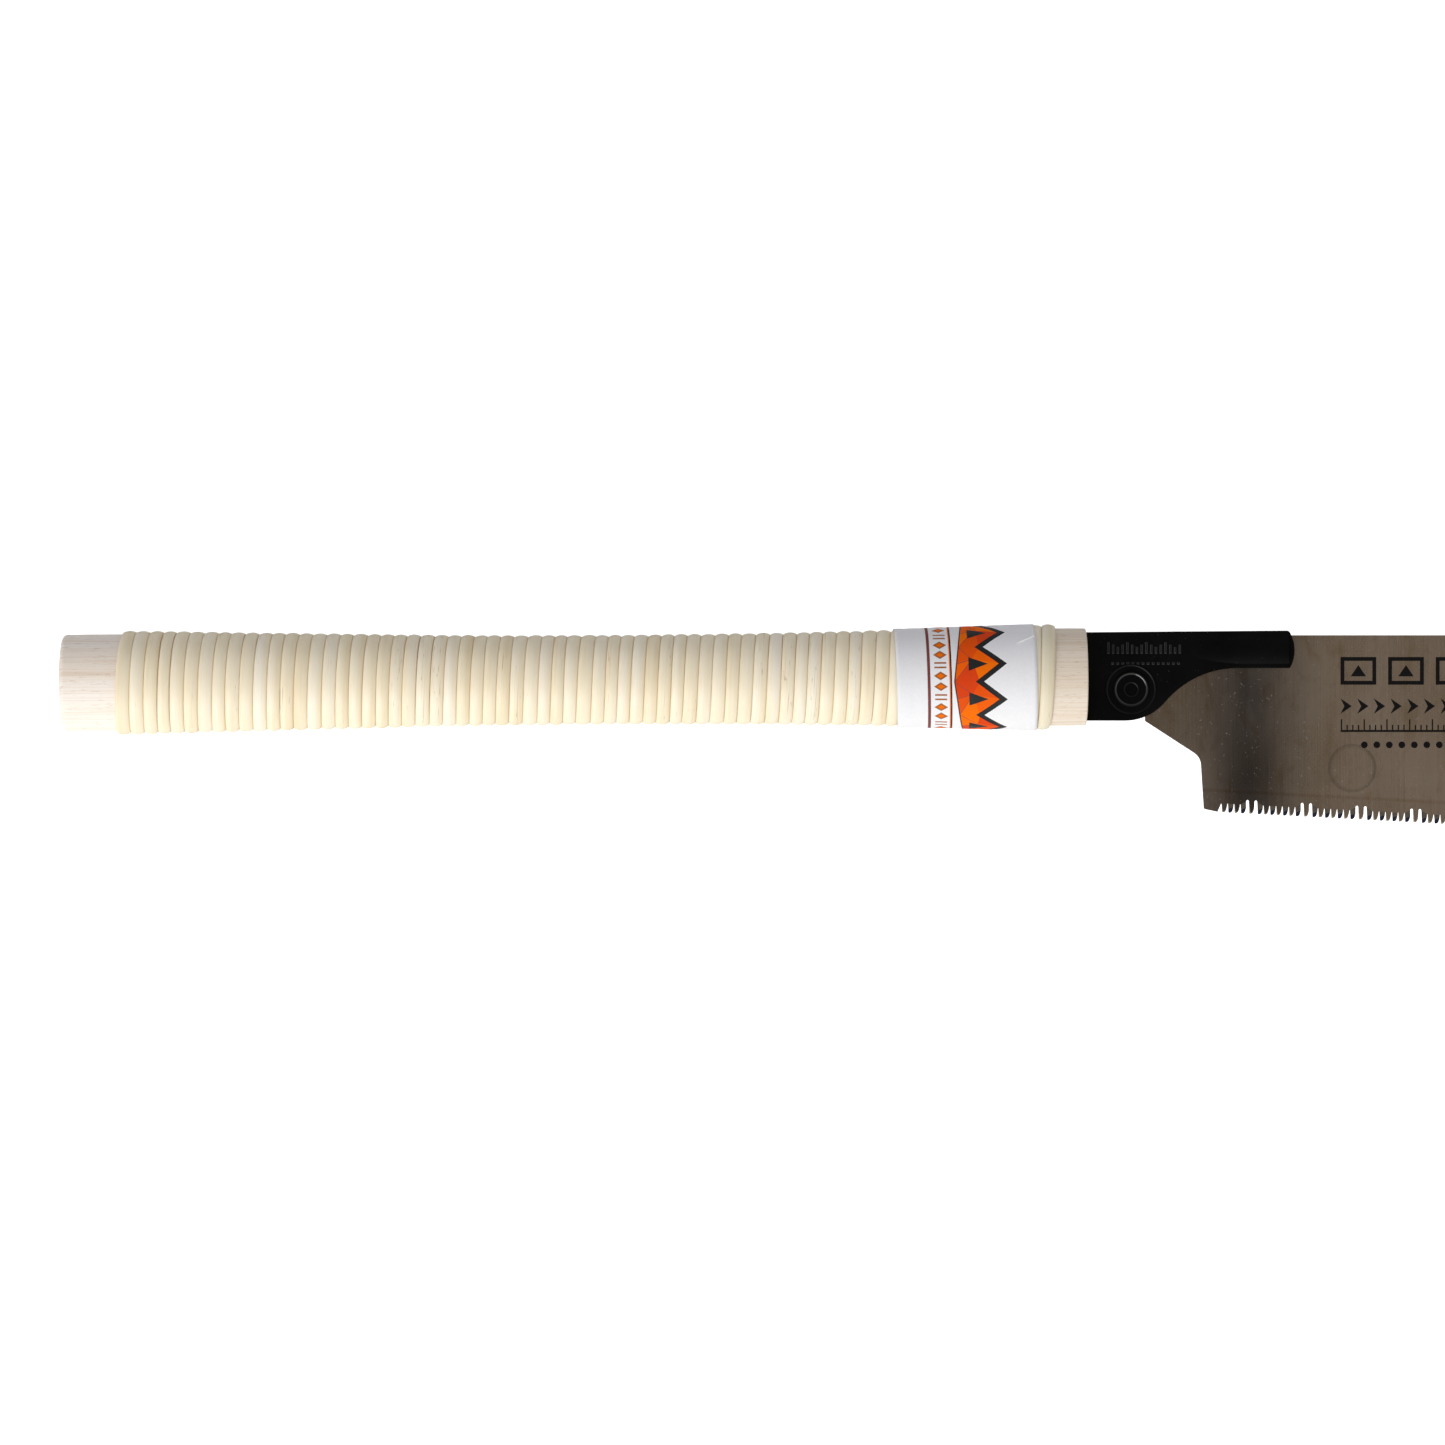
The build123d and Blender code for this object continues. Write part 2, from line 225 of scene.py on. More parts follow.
# ---- Materials ----
def rattan_material():
    """Split cane: waxy, straw coloured, with fibres along the strip, small nicks and painted shade towards
    the edges of each turn.
    """
    made = Shader("rattan_cane", Roughness=0.42, IOR=1.5)
    along = made.place((9.0, 0.6, 1.0), source="UV")
    tone = made.noise(along, 1.0, 3.0, 0.55)
    fibre = made.noise(made.place((26.0, 30.0, 1.0), source="UV"), 1.0, 4.0, 0.6)
    fine = made.noise(made.place((60.0, 75.0, 1.0), source="UV"), 1.0, 3.0, 0.6)
    cane = made.ramp(
        tone,
        (0.32, (0.87, 0.74, 0.505)),
        (0.445, (0.93, 0.83, 0.62)),
        (0.575, (0.95, 0.865, 0.69)),
        (0.69, (0.96, 0.90, 0.77)),
    )
    side = made.node("ShaderNodeSeparateXYZ", {0: made.place((1, 1, 1), source="UV")}).outputs[1]
    # Painted shade: each turn is darker towards its edges, in the grooves between turns, and over its far
    # half, as the light falls across the crowns.
    edges = made.ramp(
        side,
        (0.0, (0.85, 0.74, 0.55)),
        (0.07, (1.0, 1.0, 1.0)),
        (0.50, (1.0, 1.0, 1.0)),
        (0.88, (0.96, 0.935, 0.87)),
        (1.0, (0.82, 0.70, 0.50)),
    )
    cane = made.mix(0.35, cane, edges, "MULTIPLY")
    streaks = made.ramp(fibre, (0.30, (0.92, 0.88, 0.79)), (0.60, (1.0, 1.0, 1.0)))
    cane = made.mix(0.5, cane, streaks, "MULTIPLY")
    hairs = made.ramp(fine, (0.32, (0.84, 0.77, 0.64)), (0.46, (1.0, 1.0, 1.0)))
    cane = made.mix(0.35, cane, hairs, "MULTIPLY")
    nicks = made.noise(made.place((120.0, 5.0, 1.0), source="UV", shift=(4, 2, 0)), 1.0, 2.0)
    nicks = made.ramp(nicks, (0.215, (0.50, 0.38, 0.24)), (0.27, (1.0, 1.0, 1.0)))
    cane = made.mix(0.4, cane, nicks, "MULTIPLY")
    splits = made.noise(made.place((38.0, 5.0, 1.0), source="UV", shift=(9, 5, 0)), 1.0, 1.0)
    splits = made.math("ABSOLUTE", made.math("SUBTRACT", splits, 0.5))
    rare = made.noise(made.place((16.0, 1.0, 1.0), source="UV", shift=(2, 8, 0)), 1.0, 0.0)
    rare = made.ramp(rare, (0.60, 0.0), (0.66, 1.0))
    splits = made.ramp(splits, (0.004, 1.0), (0.010, 0.0))
    splits = made.math("MULTIPLY", made.math("MULTIPLY", splits, rare), 0.55)
    cane = made.mix(splits, cane, (0.50, 0.36, 0.20))
    along = made.node("ShaderNodeSeparateXYZ", {0: made.place((1, 1, 1))}).outputs[0]
    past_label = made.math("MULTIPLY", made.math("SUBTRACT", along, label_high.x), 500.0)
    last_turn = made.ramp(past_label, (0.0, 1.0), (1.0, (0.90, 0.93, 0.97)))
    cane = made.mix(1.0, cane, last_turn, "MULTIPLY")
    height = made.math("MULTIPLY_ADD", fibre, 0.7, made.math("MULTIPLY", fine, 0.5))
    made.feed(made.surface, {"Base Color": cane})
    made.feed(made.surface, {"Normal": made.bump(height, 0.00012, 0.7)})
    shine = made.ramp(fibre, (0.3, 0.44), (0.7, 0.30))
    made.feed(made.surface, {"Roughness": shine})
    return made.material


def wood_material():
    """Pale sanded softwood with fine lines along the handle and short dark pores."""
    made = Shader("pale_wood_grain", Roughness=0.62)
    rings = made.noise(made.place((2.0, 110.0, 170.0)), 1.0, 3.0, 0.55, 0.4)
    lines = made.noise(made.place((14.0, 1100.0, 1100.0)), 1.0, 4.0, 0.65, 0.3)
    pores = made.noise(made.place((260.0, 2600.0, 2600.0), shift=(3, 1, 0)), 1.0, 2.0, 0.5)
    wood = made.ramp(
        rings,
        (0.32, (0.90, 0.80, 0.69)),
        (0.46, (0.94, 0.86, 0.77)),
        (0.60, (0.95, 0.88, 0.80)),
        (0.72, (0.93, 0.84, 0.74)),
    )
    along = made.node("ShaderNodeSeparateXYZ", {0: made.place((1, 1, 1))}).outputs[0]
    front = made.ramp(made.math("MULTIPLY_ADD", along, 3.0, 0.5), (0.2, 0.0), (0.5, 1.0))
    wood = made.mix(front, wood, made.mix(1.0, wood, (0.845, 0.81, 0.755), "MULTIPLY"))
    thin = made.ramp(lines, (0.33, (0.82, 0.72, 0.62)), (0.52, (1.0, 1.0, 1.0)))
    wood = made.mix(0.6, wood, thin, "MULTIPLY")
    dashes = made.ramp(pores, (0.30, (0.60, 0.47, 0.36)), (0.37, (1.0, 1.0, 1.0)))
    wood = made.mix(0.5, wood, dashes, "MULTIPLY")
    height = made.math("MULTIPLY_ADD", lines, 0.6, made.math("MULTIPLY", pores, 0.4))
    made.feed(made.surface, {"Base Color": wood})
    made.feed(made.surface, {"Normal": made.bump(height, 0.00010, 0.6)})
    return made.material


def ink_material(name, colour, roughness=0.45, ior=1.25):
    """Printed paper: an ink over the same faint fibre as the bare paper."""
    made = Shader(name, Roughness=roughness, IOR=ior)
    fibre = made.noise(made.place((900.0, 900.0, 900.0)), 1.0, 4.0, 0.7)
    tone = made.ramp(fibre, (0.3, 0.92), (0.7, 1.0))
    made.feed(made.surface, {"Base Color": made.mix(0.6, colour, tone, "MULTIPLY")})
    made.feed(made.surface, {"Normal": made.bump(fibre, 0.00002, 0.5)})
    return made.material


def black_paint(name, ior, lightness, rough=0.34):
    """Semi-gloss black enamel with a faint orange peel and dust."""
    made = Shader(name, Roughness=rough, IOR=ior)
    peel = made.noise(made.place((420.0, 420.0, 420.0)), 1.0, 2.0, 0.5)
    cloud = made.noise(made.place((45.0, 45.0, 45.0)), 1.0, 3.0, 0.6)
    dust = made.noise(made.place((1900.0, 1900.0, 1900.0)), 1.0, 1.0, 0.5)
    base = made.ramp(cloud, (0.3, lightness * 0.6), (0.7, lightness))
    specks = made.ramp(dust, (0.76, 0.0), (0.82, 1.0))
    base = made.mix(specks, base, (0.05, 0.048, 0.045))
    made.feed(made.surface, {"Base Color": base})
    shine = made.ramp(cloud, (0.3, rough - 0.04), (0.7, rough + 0.08))
    made.feed(made.surface, {"Roughness": shine})
    made.feed(made.surface, {"Normal": made.bump(peel, 0.00003, 0.6)})
    return made.material


def plain_steel():
    """Bright drawn steel of the pins and the spacer."""
    made = Shader("plain_steel_drawn", Metallic=1.0, Roughness=0.4)
    lines = made.noise(made.place((900.0, 60.0, 900.0)), 1.0, 3.0, 0.5)
    tone = made.ramp(lines, (0.3, (0.40, 0.39, 0.38)), (0.7, (0.56, 0.55, 0.53)))
    made.feed(made.surface, {"Base Color": tone})
    return made.material


def heat_line(made, place):
    """A faint brown line above the gullets, where the hardening of the teeth stopped."""
    across = saw_place.to_3x3() @ Vector((math.sin(TOOTH_ANGLE), math.cos(TOOTH_ANGLE), 0))
    start = saw_place @ Vector((FIRST_TOOTH[0] * MM, (FIRST_TOOTH[1] + HEAT_DEPTH) * MM, 0))
    height = made.node("ShaderNodeVectorMath", {0: place, 1: across}, operation="DOT_PRODUCT").outputs[1]
    share = made.math("MULTIPLY_ADD", height, 1 / (8 * MM), 0.5 - start.dot(across) / (8 * MM))
    below, bare, line = (0.97, 0.965, 0.96), (1.0, 1.0, 1.0), (0.87, 0.82, 0.77)
    return made.ramp(share, (0.40, below), (0.47, line), (0.52, line), (0.62, bare))


def blade_steel():
    """Rolled spring steel: grinding lines across, a painted dark reflection band, painted shade by the
    heel, a dried drop and specks.
    """
    made = Shader("blade_spring_steel", Metallic=1.0, Roughness=0.3)
    place = made.place((1, 1, 1))
    grind = made.noise(made.place((2600.0, 25.0, 300.0)), 1.0, 3.0, 0.6)
    cloud = made.noise(made.place((26.0, 14.0, 26.0)), 1.0, 4.0, 0.6, 0.8)
    mottle = made.noise(made.place((420.0, 260.0, 260.0)), 1.0, 4.0, 0.65)
    steel = made.ramp(
        cloud,
        (0.30, (0.62, 0.475, 0.335)),
        (0.50, (0.67, 0.52, 0.375)),
        (0.72, (0.69, 0.55, 0.42)),
    )

    def spread(across, up, width, height):
        """How far a place is from a spot on the blade, mm from the rivet, as a share of its size."""
        spot = saw_place @ Vector((across * MM, up * MM, 0))
        moved = made.node("ShaderNodeVectorMath", {0: place, 1: spot}, operation="SUBTRACT")
        shape = (1 / (width * MM), 1 / (height * MM), 0)
        values = {0: moved.outputs[0], 1: shape}
        scaled = made.node("ShaderNodeVectorMath", values, operation="MULTIPLY")
        return made.node("ShaderNodeVectorMath", {0: scaled.outputs[0]}, operation="LENGTH").outputs[1]

    # Painted dark reflection: a patchy dark band across the blade, deeper towards the teeth.
    dark_reflection = made.math("POWER", spread(*DARK_REFLECTION_BAND), 2.0)
    dark_reflection = made.math("POWER", math.e, made.math("MULTIPLY", dark_reflection, -1.0))
    reflection_and_drop_mottle = made.noise(made.place((90.0, 40.0, 10.0)), 1.0, 4.0, 0.6, 0.6)
    reflection_patches = made.math("MULTIPLY_ADD", reflection_and_drop_mottle, 0.34, made.math("MULTIPLY_ADD", cloud, 0.3, 0.40))
    steel = made.mix(made.math("MULTIPLY", dark_reflection, reflection_patches), steel, (0.05, 0.052, 0.064))
    lower_reflection = made.ramp(spread(*DARK_REFLECTION_LOW), (0.0, 0.66), (1.0, 1.0), ease="EASE")
    steel = made.mix(1.0, steel, lower_reflection, "MULTIPLY")
    shade = made.ramp(spread(*HEEL_SHADE), (0.2, 0.72), (1.0, 1.0))
    steel = made.mix(1.0, steel, shade, "MULTIPLY")
    ring = made.ramp(spread(*DRIED_DROP), (0.80, 0.0), (0.93, 1.0), (1.0, 1.0), (1.05, 0.0))
    dried = made.ramp(reflection_and_drop_mottle, (0.30, 0.15), (0.62, 0.75))
    steel = made.mix(made.math("MULTIPLY", ring, dried), steel, (0.34, 0.27, 0.19))
    stains = made.noise(made.place((190.0, 75.0, 100.0), shift=(6, 3, 0)), 1.0, 3.0, 0.55, 0.5)
    stains = made.ramp(stains, (0.54, (1.0, 1.0, 1.0)), (0.70, (0.86, 0.80, 0.70)))
    steel = made.mix(0.8, steel, stains, "MULTIPLY")
    steel = made.mix(1.0, steel, heat_line(made, place), "MULTIPLY")
    lines = made.ramp(grind, (0.3, (0.88, 0.88, 0.88)), (0.7, (1.0, 1.0, 1.0)))
    steel = made.mix(0.25, steel, lines, "MULTIPLY")
    spots = made.ramp(mottle, (0.30, (0.80, 0.78, 0.76)), (0.46, (1.0, 1.0, 1.0)))
    steel = made.mix(0.5, steel, spots, "MULTIPLY")
    dust = made.noise(made.place((1300.0, 1100.0, 1300.0)), 1.0, 1.0, 0.5)
    dust = made.ramp(dust, (0.71, 0.0), (0.77, 1.0))
    steel = made.mix(made.math("MULTIPLY", dust, 0.45), steel, (0.95, 0.92, 0.88))
    made.feed(made.surface, {"Base Color": steel})
    rough = made.math("MULTIPLY_ADD", cloud, 0.12, made.math("MULTIPLY", grind, 0.08))
    rough = made.math("ADD", rough, 0.17)
    made.feed(made.surface, {"Roughness": rough})
    made.feed(made.surface, {"Normal": made.bump(grind, 0.000004, 0.4)})
    return made.material


def simple_steel(name, colour, roughness):
    """Steel with one tone and a fine file texture, for bevels and hardened points."""
    made = Shader(name, Metallic=1.0, Roughness=roughness)
    file_marks = made.noise(made.place((3000.0, 400.0, 900.0)), 1.0, 2.0, 0.5)
    dark = tuple(value * 0.7 for value in colour)
    made.feed(made.surface, {"Base Color": made.ramp(file_marks, (0.3, dark), (0.7, colour))})
    return made.material


RATTAN = rattan_material()
WOOD = wood_material()
PAPER = ink_material("label_white", (0.86, 0.86, 0.88))
# Painted highlight: whiter paper along the crease's ridge, where the light catches it.
CREASE_HIGHLIGHT_PAPER = ink_material("label_crease_highlight", (0.97, 0.97, 0.97))
MAROON = ink_material("label_maroon", (0.20, 0.055, 0.05))
BROWN = ink_material("label_brown", (0.38, 0.12, 0.03))
ORANGE_TONES = (
    (0.90, 0.125, 0.004),
    (0.93, 0.165, 0.003),
    (0.72, 0.060, 0.010),
    (0.82, 0.09, 0.006),
)
ORANGES = [
    ink_material(f"label_orange_{number}", tone, ior=1.12)
    for number, tone in enumerate(ORANGE_TONES, 1)
]
BLACK_INK = ink_material("label_black", (0.018, 0.02, 0.02), 0.4)
ENAMEL = black_paint("black_enamel", 1.15, 0.0036)
STEEL = plain_steel()
BLADE = blade_steel()
BLADE_EDGE = simple_steel("blade_cut_edge", (0.30, 0.26, 0.23), 0.45)
BEVEL = simple_steel("tooth_bevel", (0.55, 0.47, 0.39), 0.38)
DARK_TOOTH = simple_steel("tooth_dark", (0.26, 0.22, 0.18), 0.38)
HARD_TIP = simple_steel("tooth_hardened", (0.07, 0.075, 0.12), 0.35)
BLADE_INK = ink_material("blade_ink", (0.008, 0.007, 0.007), 0.55, 1.12)
MARK = black_paint("black_enamel_worn", 1.45, 0.005)
RIM = black_paint("rivet_rim_worn", 1.65, 0.005, 0.2)
SATIN = black_paint("black_enamel_satin", 1.28, 0.004)


# ---- Rattan binding ----
STEPS = 72  # rings in one turn of the strip
TURNS = 69.5
STRIP_START = -0.42  # turns before the first edge crosses the tooth side
STRIP_END = 68.72
ARCH = 0.41  # how much thinner the strip is at its edges, as a share of its thickness
CORNER = 0.16  # how much its corners are rounded, in the same way
SINK = 0.12  # mm, how far its back lies in the wood
PROUD_TURN = 67.45  # from here on the strip stands higher
TUCK_STEPS = 16  # steps over which its ends go under
WRAP_START = (wrap_low.x - butt_x) / MM
WRAP_END = (wrap_high.x - butt_x) / MM


def strip_edges():
    """Where the strip's rear edge lies along the handle, mm, at each step of the winding."""
    first = round((STRIP_START - 0.1) * STEPS)
    last = round((TURNS + 1.6) * STEPS)
    places = {first: 0.0}
    for step in range(first, last):
        turns = step / STEPS
        pitch = 1 + 0.16 * wobble(turns * 0.9, 1) + 0.14 * wobble(turns * 3.1, 2)
        places[step + 1] = places[step] + pitch / STEPS
    start, end = places[0], places[round(TURNS * STEPS)]
    scale = (WRAP_END - WRAP_START) / (end - start)
    return {step: WRAP_START + (at - start) * scale for step, at in places.items()}


def strip_profile():
    """The strip's section: straight edges and a low arch, as (side from -1 to 1, share of thickness)."""
    made = [(-1.0, 0.0)]
    half_steps = 5
    for step in range(-half_steps, half_steps + 1):
        side = math.sin(math.pi / 2 * step / half_steps)
        corner = max(0.0, abs(side) - 0.88) / 0.12
        made.append((side, 1 - ARCH * side * side - CORNER * corner * corner))
    made.append((1.0, 0.0))
    return made


def make_rattan():
    """One strip wound from the butt to the front, its crown rounded and its ends tucked in."""
    edges = strip_edges()
    first, last = round(STRIP_START * STEPS), round(STRIP_END * STEPS)
    profile = strip_profile()
    row = len(profile)
    points, coords, faces = [], [], []
    length = 0.0
    before = None
    for step in range(first, last + 1):
        turns = step / STEPS
        angle = turns * TURN
        rear, front = edges[step], edges[step + STEPS]
        tuck = min(smooth((step - first) / TUCK_STEPS), smooth((last - step) / TUCK_STEPS))
        proud = smooth((turns - PROUD_TURN) / 0.3)
        gap = 0.015 + 0.55 * max(0.0, wobble(turns * 1.7, 3) - 0.45)
        middle = (rear + front) / 2
        half = ((front - rear) / 2 - gap) * (0.55 + 0.45 * tuck)
        thick = STRIP_THICKNESS * (0.94 + 0.10 * wobble(turns * 2.3, 4) + 0.10 * proud)
        thick *= 0.35 + 0.65 * tuck
        lean = 0.10 * wobble(turns * 1.3, 5) - 0.02
        here = oval_point(middle, angle, 0)
        if before is not None:
            length += (here - before).length
        before = here
        for side, share in profile:
            lift = thick * share * (1 + lean * side) - SINK
            distance = middle + side * half
            point = oval_point(distance, angle, 0)
            point += oval_outward(distance, angle) * lift * MM
            points.append(point)
            coords.append((length, (side + 1) / 2))
    rings = last - first + 1
    for ring in range(rings - 1):
        for index in range(row):
            here = ring * row + index
            beside = ring * row + (index + 1) % row
            faces.append((here, beside, beside + row, here + row))
    faces.append(tuple(range(row - 1, -1, -1)))
    faces.append(tuple((rings - 1) * row + index for index in range(row)))
    piece = add_mesh("rattan_strip", points, faces, [RATTAN])
    layer = piece.data.uv_layers.new(name="strip")
    for loop in piece.data.loops:
        layer.data[loop.index].uv = coords[loop.vertex_index]
    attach(piece, "handle")
    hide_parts("rattan_wrap")
    return edges


# ---- Flat sheets cut along their print ----
def encloses(polygon, spot):
    """Whether a polygon holds a point."""
    inside = False
    before = polygon[-1]
    for corner in polygon:
        if (corner[1] > spot[1]) != (before[1] > spot[1]):
            share = (spot[1] - corner[1]) / (before[1] - corner[1])
            if spot[0] < corner[0] + share * (before[0] - corner[0]):
                inside = not inside
        before = corner
    return inside


def divided(polygon, step):
    """The polygon's points, with more of them along sides that are longer than a step."""
    made = []
    for index, corner in enumerate(polygon):
        here, there = Vector(corner), Vector(polygon[(index + 1) % len(polygon)])
        pieces = max(1, math.ceil((there - here).length / step))
        made += [here.lerp(there, piece / pieces) for piece in range(pieces)]
    return made


def cut_sheet(outline, extra, prints, step=1000):
    """Triangles of a flat sheet, cut along its print. Each print is (polygon, material index)."""
    coords = [Vector(point) for point in (*outline, *extra)]
    edges = [(index, (index + 1) % len(outline)) for index in range(len(outline))]
    areas = []
    for polygon, ink in prints:
        start = len(coords)
        corners = divided(polygon, step)
        coords += corners
        count = len(corners)
        edges += [(start + index, start + (index + 1) % count) for index in range(count)]
        across = [point[0] for point in polygon]
        up = [point[1] for point in polygon]
        areas.append((min(across), max(across), min(up), max(up), polygon, ink))
    corners, _, triangles, sources, _, _ = delaunay_2d_cdt(coords, edges, [], 0, 1e-5, True)
    kept, inks = [], []
    for face in triangles:
        spot = sum((corners[index] for index in face), Vector((0, 0))) / 3
        if not encloses(outline, spot):
            continue
        chosen = 0
        for left, right, bottom, top, polygon, ink in areas:
            if left < spot.x < right and bottom < spot.y < top and encloses(polygon, spot):
                chosen = ink
        kept.append(tuple(face))
        inks.append(chosen)
    return corners, kept, sources, inks


# ---- Paper label ----
LABEL_STEP = 1.2
LABEL_OVERLAP = 4.0
LABEL_SEAM = -9.0  # how far round from the underside its overlap lies
LABEL_HEIGHT = 17.4  # half height of the label's oval at its middle
LABEL_SKEW = 0.022  # it is glued a little askew
CREASE_START = Vector((40.0, 11.6))  # mm along the label and mm of arc from the top
CREASE_END = Vector((46.3, 14.8))
CREASE_WIDTH = 0.38
CREASE_HEIGHT = 0.23

# The label's inks, as material numbers. There are four oranges.
MAROON_INK = 1
BROWN_INK = 2
ORANGE_INK = 3
ZIGZAG_INK = 7
# Not an ink: the crease's painted highlight, in whiter paper.
CREASE_HIGHLIGHT_SLOT = 8

# The label's print, mm along it from its rear edge.
LINE_REAR = 10.2
LINE_FRONT = 11.2
MOTIFS = 27
MOTIF_MIDDLE = 14.6
BAR_HALF = 2.0
LOZENGE_HALF = (2.3, 1.55)
EDGE_LINES = (17.5, 17.85, 18.35)
PANEL_REAR = 19.2
VALLEYS = 27.6
TIPS = 35.4
PEAKS = 8  # of the zigzag, all the way round
PEAK_SHIFT = -1.5


def arc_table():
    """Arc length round the label's oval from the top, mm, against the angle."""
    rows = [(0.0, 0.0)]
    steps = 360
    length = 0.0
    width = LABEL_HEIGHT * OVALITY + 0.4
    for step in range(steps):
        angle = TURN * (step + 0.5) / steps
        length += math.hypot(LABEL_HEIGHT * math.cos(angle), width * math.sin(angle)) * TURN / steps
        rows.append((length, TURN * (step + 1) / steps))
    return rows


ARC = arc_table()
ROUND = ARC[-1][0]


def arc_angle(arc):
    """The angle from the top at an arc length, positive towards the spine side."""
    turns, rest = divmod(arc, ROUND)
    low, high = 0, len(ARC) - 1
    while high - low > 1:
        middle = (low + high) // 2
        if ARC[middle][0] <= rest:
            low = middle
        else:
            high = middle
    span = ARC[high][0] - ARC[low][0]
    part = (rest - ARC[low][0]) / span
    return ARC[low][1] + part * (ARC[high][1] - ARC[low][1]) + turns * TURN


def label_ends():
    """Where the label starts and ends round the handle, mm of arc from the top."""
    return LABEL_SEAM - ROUND / 2, LABEL_SEAM + ROUND / 2 + LABEL_OVERLAP


def label_prints():
    """Generic print: lines, a row of lozenges, a faceted orange panel and a black zigzag, and the crease's
    painted highlight.
    """
    low, high = label_ends()
    made = []

    def box(left, right, bottom, top, ink):
        made.append((((left, bottom), (right, bottom), (right, top), (left, top)), ink))

    def line(start, end, width, ink):
        start, end = Vector(start), Vector(end)
        side = (end - start).orthogonal().normalized() * width / 2
        corners = (start - side, end - side, end + side, start + side)
        made.append(([tuple(corner) for corner in corners], ink))

    box(LINE_REAR, LINE_FRONT, low, high, MAROON_INK)
    rear, front = MOTIF_MIDDLE - BAR_HALF, MOTIF_MIDDLE + BAR_HALF
    for index in range(MOTIFS):
        middle = low + (index + 0.5) * (high - low) / MOTIFS
        if index % 3 == 1:
            box(rear, front, middle - 1.1, middle - 0.5, BROWN_INK)
            box(rear, front, middle + 0.5, middle + 1.1, BROWN_INK)
            continue
        for size, ink in ((1.0, BROWN_INK), (0.56, ORANGE_INK + 1)):
            long, wide = LOZENGE_HALF[0] * size, LOZENGE_HALF[1] * size
            lozenge = (
                (MOTIF_MIDDLE - long, middle),
                (MOTIF_MIDDLE, middle - wide),
                (MOTIF_MIDDLE + long, middle),
                (MOTIF_MIDDLE, middle + wide),
            )
            made.append((lozenge, ink))
    box(EDGE_LINES[0], EDGE_LINES[1], low, high, ORANGE_INK + 1)
    box(EDGE_LINES[1], EDGE_LINES[2], low, high, ZIGZAG_INK)

    def panel_rear(arc):
        return PANEL_REAR + 0.13 * min(abs(arc - PEAK_SHIFT), 24)

    period = ROUND / PEAKS
    for index in range(-PEAKS, PEAKS):
        bottom = index * period + PEAK_SHIFT
        top = min(bottom + period, high)
        bottom = max(bottom, low)
        if top - bottom < period * 0.7:
            continue
        middle = (bottom + top) / 2
        centre = (panel_rear(middle), middle)
        knot = (centre[0] + 5.2, middle + 1.6)
        lower = (panel_rear(bottom), bottom)
        upper = (panel_rear(top), top)
        valley_low = (VALLEYS, bottom)
        valley_high = (VALLEYS, top)
        peak = (TIPS, middle)
        fan = (
            (lower, knot, centre),
            (centre, knot, upper),
            (lower, valley_low, knot),
            (knot, valley_low, peak),
            (knot, peak, valley_high),
            (knot, valley_high, upper),
        )
        for turn, facet in enumerate(fan):
            made.append((facet, ORANGE_INK + (turn * 3 + index) % len(ORANGES)))
        for spot in (lower, upper, centre):
            line(spot, knot, 0.16, MAROON_INK)
        line(lower, centre, 0.4, ZIGZAG_INK)
        line(centre, upper, 0.4, ZIGZAG_INK)
        slim = 1.4
        for valley, end in ((valley_low, bottom), (valley_high, top)):
            stroke = (
                (valley[0] - slim, end),
                (valley[0] + slim, end),
                (peak[0] + slim, middle),
                (peak[0] - slim, middle),
            )
            made.append((stroke, ZIGZAG_INK))
        wedge = ((24.0, middle + 2.4), (24.0, middle - 2.4), (30.4, middle))
        made.append((wedge, ZIGZAG_INK))
    # The crease: two slivers of whiter paper, a painted highlight along its ridge.
    side = (CREASE_END - CREASE_START).orthogonal().normalized() * CREASE_WIDTH
    thin = CREASE_START.lerp(CREASE_END, 0.35)
    for edge in (side, -side):
        corners = (CREASE_START, CREASE_END, CREASE_END + edge, thin + edge)
        made.append(([tuple(corner) for corner in corners], CREASE_HIGHLIGHT_SLOT))
    return made


def crease_lift(corner):
    """How far the crease lifts the label at a place, as a share."""
    whole = CREASE_END - CREASE_START
    part = min(max((corner - CREASE_START).dot(whole) / whole.length_squared, 0.0), 1.0)
    off = (corner - CREASE_START - whole * part).length
    return max(0.0, 1 - off / CREASE_WIDTH) * smooth(part * 3)


